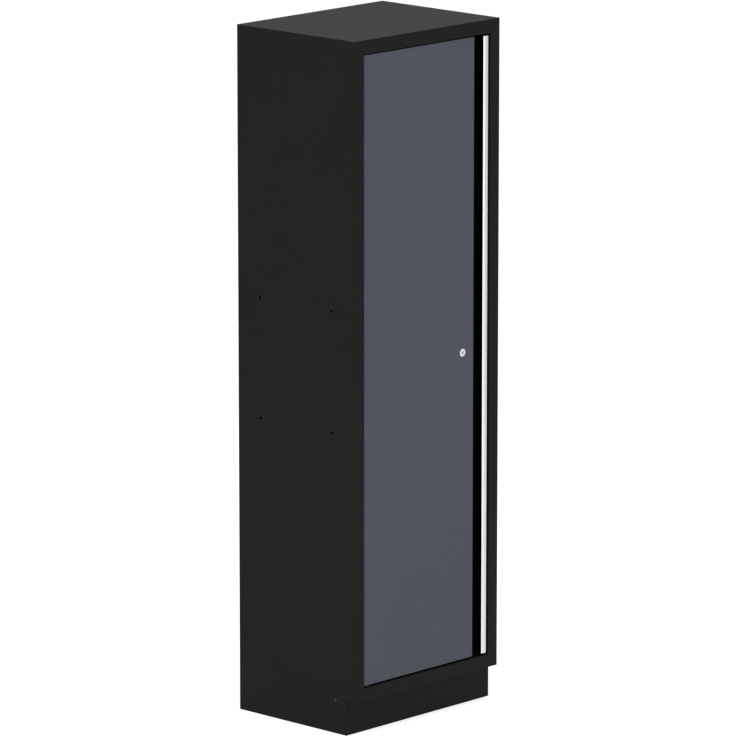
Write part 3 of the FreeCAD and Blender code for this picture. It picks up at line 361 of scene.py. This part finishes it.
def copies(shape, placements):
    # one mesh with the shape at each placement
    mesh = bmesh.new()
    for placement in placements:
        data = bpy.data.meshes.new("copy")
        shape.to_mesh(data)
        data.transform(placement)
        mesh.from_mesh(data)
        bpy.data.meshes.remove(data)
    shape.free()
    return mesh


def only(kind, geometry):
    return [item for item in geometry if isinstance(item, kind)]


def addPiece(name, mesh, body, slot, *stoodFor):
    for face in mesh.faces:
        face.smooth = True
    for edge in mesh.edges:
        edge.smooth = len(edge.link_faces) == 2 and edge.calc_face_angle() < sharpAngle
    data = bpy.data.meshes.new(name)
    mesh.to_mesh(data)
    mesh.free()
    data.materials.append(finishes[slot])
    piece = addObject(name, data)
    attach(piece, body)
    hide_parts(*stoodFor)


# Blind rivets of the back: domed heads with the broken mandrel in the middle, flared tails inside
rivet = {
    "column": 290 * mm,
    "seat": 228.4 * mm,
    "lowest": 150 * mm,
    "step": 340 * mm,
    "count": 6,
    "segments": 24,
    "outline": (
        (0, 0.75), (1.0, 0.8), (1.15, 0.95), (1.2, 1.45), (1.4, 1.6), (1.9, 1.55), (2.6, 1.34),
        (3.3, 0.98), (3.8, 0.52), (4.0, 0.2), (4.0, 0), (2.0, 0), (2.0, -2.0), (2.75, -2.0),
        (3.0, -2.3), (2.9, -2.9), (2.3, -3.4), (1.5, -3.5), (0, -3.5),
    ),
}


def backRivets():
    shape = spunShape(inMetres(rivet["outline"]), rivet["segments"])
    spots = []
    for number in range(rivet["count"]):
        for x in (-rivet["column"], rivet["column"]):
            spot = Vector((x, rivet["seat"], rivet["lowest"] + number * rivet["step"]))
            spots.append(Matrix.Translation(spot) @ towardBack)
    addPiece("domed_back_rivets", copies(shape, spots), "carcass", "zinc_plated_steel", "back_rivets")


# Screws with a cross recess, side gives (radius, depth) from the face down to the point
plinthScrew = {
    "face": 3.5 * mm,
    "side": ((2.0, 1.5), (2.0, 10.0), (0.4, 12.0)),
    "crossLength": 3.6 * mm,
    "crossWidth": 1.0 * mm,
    "crossDepth": 1.2 * mm,
    "crossTaper": 0.6,
    "x": 300 * mm,
    "y": -154 * mm,
    "z": 98.5 * mm,
}
driverScrew = {
    "face": 3.6 * mm,
    "side": ((4.6, 0.5), (5.0, 1.4), (5.0, 3.0), (2.0, 3.0), (2.0, 9.5), (0.4, 10.0)),
    "crossLength": 5.0 * mm,
    "crossWidth": 1.3 * mm,
    "crossDepth": 1.5 * mm,
    "crossTaper": 0.6,
}


def crossScrew(look):
    # the head's face lies at z = 0 and looks along +Z, the shank hangs below
    mesh = bmesh.new()
    bmesh.ops.create_grid(mesh, x_segments=3, y_segments=3, size=1)
    for vert in mesh.verts:
        for axis in (0, 1):
            outer = abs(vert.co[axis]) > 0.5      # the grid's lines lie at 1 and at a third
            reach = look["crossLength"] if outer else look["crossWidth"]
            vert.co[axis] = math.copysign(reach / 2, vert.co[axis])
    rim = [edge for edge in mesh.edges if edge.is_boundary]
    cross = []
    for face in mesh.faces:
        middle = face.calc_center_median()
        if min(abs(middle.x), abs(middle.y)) < look["crossWidth"] / 2:
            cross.append(face)
    grown = bmesh.ops.extrude_edge_only(mesh, edges=rim)["geom"]
    bmesh.ops.subdivide_edges(mesh, edges=only(bmesh.types.BMEdge, grown), cuts=2)
    outline = [edge for edge in mesh.edges if edge.is_boundary]
    for vert in {vert for edge in outline for vert in edge.verts}:
        vert.co *= look["face"] / vert.co.length      # the square's outline drawn out to a circle
    sunk = bmesh.ops.extrude_face_region(mesh, geom=cross)["geom"]
    bmesh.ops.delete(mesh, geom=cross, context="FACES")
    bottom = only(bmesh.types.BMVert, sunk)
    bmesh.ops.translate(mesh, verts=bottom, vec=(0, 0, -look["crossDepth"]))
    bmesh.ops.scale(mesh, verts=bottom, vec=(look["crossTaper"], look["crossTaper"], 1))
    radius, depth = look["face"], 0
    for nextRadius, nextDepth in inMetres(look["side"]):
        grown = bmesh.ops.extrude_edge_only(mesh, edges=outline)["geom"]
        ring = only(bmesh.types.BMVert, grown)
        outline = only(bmesh.types.BMEdge, grown)
        bmesh.ops.scale(mesh, verts=ring, vec=(nextRadius / radius, nextRadius / radius, 1))
        bmesh.ops.translate(mesh, verts=ring, vec=(0, 0, depth - nextDepth))
        radius, depth = nextRadius, nextDepth
    bmesh.ops.edgeloop_fill(mesh, edges=outline)
    bmesh.ops.recalc_face_normals(mesh, faces=mesh.faces)
    return mesh


def screws():
    spots = []
    for x, turned in ((-plinthScrew["x"], towardLeft), (plinthScrew["x"], towardRight)):
        spots.append(Matrix.Translation((x, plinthScrew["y"], plinthScrew["z"])) @ turned)
    addPiece("cross_recess_plinth_screws", copies(crossScrew(plinthScrew), spots), "carcass",
             "black_zinc", "plinth_screws")
    spot = middleOf("driver_screw")
    spot.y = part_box("driver_screw")[1].y
    mesh = copies(crossScrew(driverScrew), [Matrix.Translation(spot) @ towardBack])
    addPiece("cross_recess_driver_screw", mesh, "lock_cylinder", "zinc_plated_steel", "driver_screw")


# Rubber buffers on the stop lip, domed towards the door
buffer = {
    "heights": (400 * mm, 1050 * mm, 1700 * mm),
    "segments": 32,
    "outline": (
        (0, 0), (3.5, 0), (3.5, 0.7), (3.42, 1.05), (3.15, 1.36), (2.5, 1.6), (1.4, 1.69), (0, 1.7),
    ),
}


def buffers():
    shape = spunShape(inMetres(buffer["outline"]), buffer["segments"])
    x = middleOf("door_buffers").x
    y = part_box("door_buffers")[1].y
    spots = [Matrix.Translation((x, y, z)) @ towardFront for z in buffer["heights"]]
    addPiece("domed_door_buffers", copies(shape, spots), "carcass", "buffer_rubber", "door_buffers")


# Levelling feet: a hexagon collar on a threaded stud
stud = {
    "corners": ("front_left", "front_right", "rear_left", "rear_right"),
    "core": 4.2 * mm,
    "crest": 4.98 * mm,
    "pitch": 1.5 * mm,
    "ridge": (0, 0.38, 0.5, 0.88),      # foot, crest, crest and foot of the thread, in pitches
    "ridgeEnd": 0.9,
    "sunkIn": 0.05 * mm,                # the ridge starts inside the core
    "runIn": 1 * mm,
    "runOut": 2 * mm,
    "stepsPerTurn": 16,
    "seat": 4 * mm,
    "collar": (10 * mm, 16 * mm),
    "acrossFlats": 17 * mm,
    "collarBevel": 0.5 * mm,
    "top": 82 * mm,
    "chamfer": 1 * mm,
}


def threadedStud():
    core, crest, pitch, top = stud["core"], stud["crest"], stud["pitch"], stud["top"]
    collarLow, collarHigh = stud["collar"]
    mesh = spunShape(((0, stud["seat"]), (core, stud["seat"]), (core, top - stud["chamfer"]),
                      (core - stud["chamfer"], top), (0, top)), stud["stepsPerTurn"])
    cornerRadius = stud["acrossFlats"] / math.sqrt(3)
    hexagon = bmesh.ops.create_circle(mesh, cap_ends=True, segments=6, radius=cornerRadius)["verts"]
    bmesh.ops.translate(mesh, verts=hexagon, vec=(0, 0, collarLow))
    face = next(face for face in hexagon[0].link_faces if len(face.verts) == 6)
    grown = bmesh.ops.extrude_face_region(mesh, geom=[face], use_keep_orig=True)["geom"]
    upper = only(bmesh.types.BMVert, grown)
    bmesh.ops.translate(mesh, verts=upper, vec=(0, 0, collarHigh - collarLow))
    rims = {edge for vert in hexagon + upper for edge in vert.link_edges}
    bmesh.ops.bevel(mesh, geom=list(rims), offset=stud["collarBevel"], affect="EDGES", segments=2,
                    profile=0.5, material=-1)
    # one ridge of the thread, wound up the stud and fading out at both ends
    start = collarHigh + stud["runIn"]
    turns = int((top - stud["runOut"] - start) / pitch)
    root = core - stud["sunkIn"]
    profile = zip((root, crest, crest, root), stud["ridge"])
    corners = [mesh.verts.new((radius, 0, start + share * pitch)) for radius, share in profile]
    edges = [mesh.edges.new(pair) for pair in zip(corners, corners[1:] + corners[:1])]
    before = set(mesh.verts) - set(corners)
    wound = bmesh.ops.spin(mesh, geom=corners + edges, cent=(0, 0, 0), axis=(0, 0, 1),
                           angle=math.tau * turns, steps=turns * stud["stepsPerTurn"],
                           dvec=(0, 0, pitch / stud["stepsPerTurn"]))
    bmesh.ops.edgeloop_fill(mesh, edges=edges + only(bmesh.types.BMEdge, wound["geom_last"]))
    end = start + (turns + stud["ridgeEnd"]) * pitch
    for vert in set(mesh.verts) - before:
        fade = min(vert.co.z - start, end - vert.co.z) / pitch
        radius = math.hypot(vert.co.x, vert.co.y)
        shrink = (root + (radius - root) * max(0, min(1, fade))) / radius
        vert.co.x *= shrink
        vert.co.y *= shrink
    bmesh.ops.recalc_face_normals(mesh, faces=mesh.faces)
    return mesh


def footStuds():
    for corner in stud["corners"]:
        middle = middleOf(f"foot_stud_{corner}")
        mesh = copies(threadedStud(), [Matrix.Translation((middle.x, middle.y, 0))])
        addPiece(f"threaded_stud_{corner}", mesh, f"foot_{corner}", "zinc_plated_steel",
                 f"foot_stud_{corner}")


backRivets()
screws()
buffers()
footStuds()
print("pieces: rivets, screws, buffers and studs")


# Floor, light and camera

studio = {
    "floorSide": 80.0,
    "floorColour": "#f4f4f4",
    "floorRoughness": 0.9,
    "floorGlow": 0.56,
    "shadeMiddle": (0, 16 * mm, 0),            # the floor under the cabinet gets no glow
    "shadeHalf": (290 * mm, 206 * mm),
    "fill": 0.52,
    "key": {"place": (-4.6, -1.4, 2.4), "aim": (0, 0, 0.9), "side": 4.5, "power": 62.0},
    "overhead": {"place": (-0.6, -0.8, 5.5), "aim": (0, 0, 1.0), "side": 5.0, "power": 105.0},
    "low": {"place": (-1.6, -4.2, 0.9), "aim": (0, 0, 0.3), "side": 2.4, "power": 18.0},
}


def seenDirectly(tree):
    # one for rays from the camera or by way of metal and glass, none for the light on the object
    rays = addNode(tree, "ShaderNodeLightPath")
    seen = rays["Is Camera Ray"]
    for kind in ("Is Glossy Ray", "Is Transmission Ray"):
        seen = addNode(tree, "ShaderNodeMath", {0: seen, 1: rays[kind]}, operation="MAXIMUM")["Value"]
    return seen


def floor():
    mesh = bmesh.new()
    bmesh.ops.create_grid(mesh, x_segments=1, y_segments=1, size=studio["floorSide"] / 2)
    data = bpy.data.meshes.new("floor")
    mesh.to_mesh(data)
    mesh.free()
    piece = addObject("floor", data)
    material, tree, shader, place = startMaterial(
        "pale_floor", Base_Color=linear(studio["floorColour"]), Roughness=studio["floorRoughness"],
        Specular_IOR_Level=0.0, Emission_Color=(1, 1, 1, 1))
    offset = addNode(tree, "ShaderNodeVectorMath", {0: place, 1: studio["shadeMiddle"]},
                     operation="SUBTRACT")["Vector"]
    apart = addNode(tree, "ShaderNodeVectorMath", {0: offset}, operation="ABSOLUTE")["Vector"]
    reach = addNode(tree, "ShaderNodeSeparateXYZ", {"Vector": apart})
    halfWidth, halfDepth = studio["shadeHalf"]
    beside = addNode(tree, "ShaderNodeMath", {0: reach["X"], 1: halfWidth}, operation="GREATER_THAN")
    beyond = addNode(tree, "ShaderNodeMath", {0: reach["Y"], 1: halfDepth}, operation="GREATER_THAN")
    clear = addNode(tree, "ShaderNodeMath", {0: beside["Value"], 1: beyond["Value"]}, operation="MAXIMUM")
    glow = addNode(tree, "ShaderNodeMath", {0: seenDirectly(tree), 1: clear["Value"]}, operation="MULTIPLY")
    addNode(tree, "ShaderNodeMapRange", {"Value": glow["Value"], "To Max": studio["floorGlow"]},
            {"Result": shader.inputs["Emission Strength"]})
    data.materials.append(material)


def world():
    sky = bpy.data.worlds.new("studio")
    bpy.context.scene.world = sky
    sky.use_nodes = True
    tree = sky.node_tree
    background = tree.nodes["Background"]
    background.inputs["Color"].default_value = (1, 1, 1, 1)
    addNode(tree, "ShaderNodeMapRange", {"Value": seenDirectly(tree), "To Min": studio["fill"]},
            {"Result": background.inputs["Strength"]})


def softbox(name):
    look = studio[name]
    lamp = bpy.data.lights.new(name, "AREA")
    lamp.shape = "SQUARE"
    lamp.size = look["side"]
    lamp.energy = look["power"]
    piece = addObject(name, lamp)
    piece.location = look["place"]
    direction = Vector(look["aim"]) - Vector(look["place"])
    piece.rotation_euler = direction.to_track_quat("-Z", "Y").to_euler()


photoView = {
    "target": (-0.00244, -0.00023, 0.99475),
    "distance": 17.827,
    "turn": 46.633,      # degrees to the left of straight on
    "rise": 12.164,      # degrees above level
    "lens": 304.31,
    "sensor": 36.0,
    "clip": 4,           # the farthest thing seen, in camera distances
}


def camera():
    turn, rise = math.radians(photoView["turn"]), math.radians(photoView["rise"])
    back = Vector((-math.sin(turn) * math.cos(rise), -math.cos(turn) * math.cos(rise), math.sin(rise)))
    data = bpy.data.cameras.new("photo_view")
    data.lens = photoView["lens"]
    data.sensor_width = photoView["sensor"]
    data.clip_end = photoView["clip"] * photoView["distance"]
    piece = addObject("photo_view", data)
    piece.location = Vector(photoView["target"]) + back * photoView["distance"]
    piece.rotation_euler = (math.pi / 2 - rise, 0, -turn)
    bpy.context.scene.camera = piece


floor()
world()
for name in ("key", "overhead", "low"):
    softbox(name)
camera()
bpy.context.scene.view_settings.view_transform = "Standard"
print("studio: floor, light and camera")
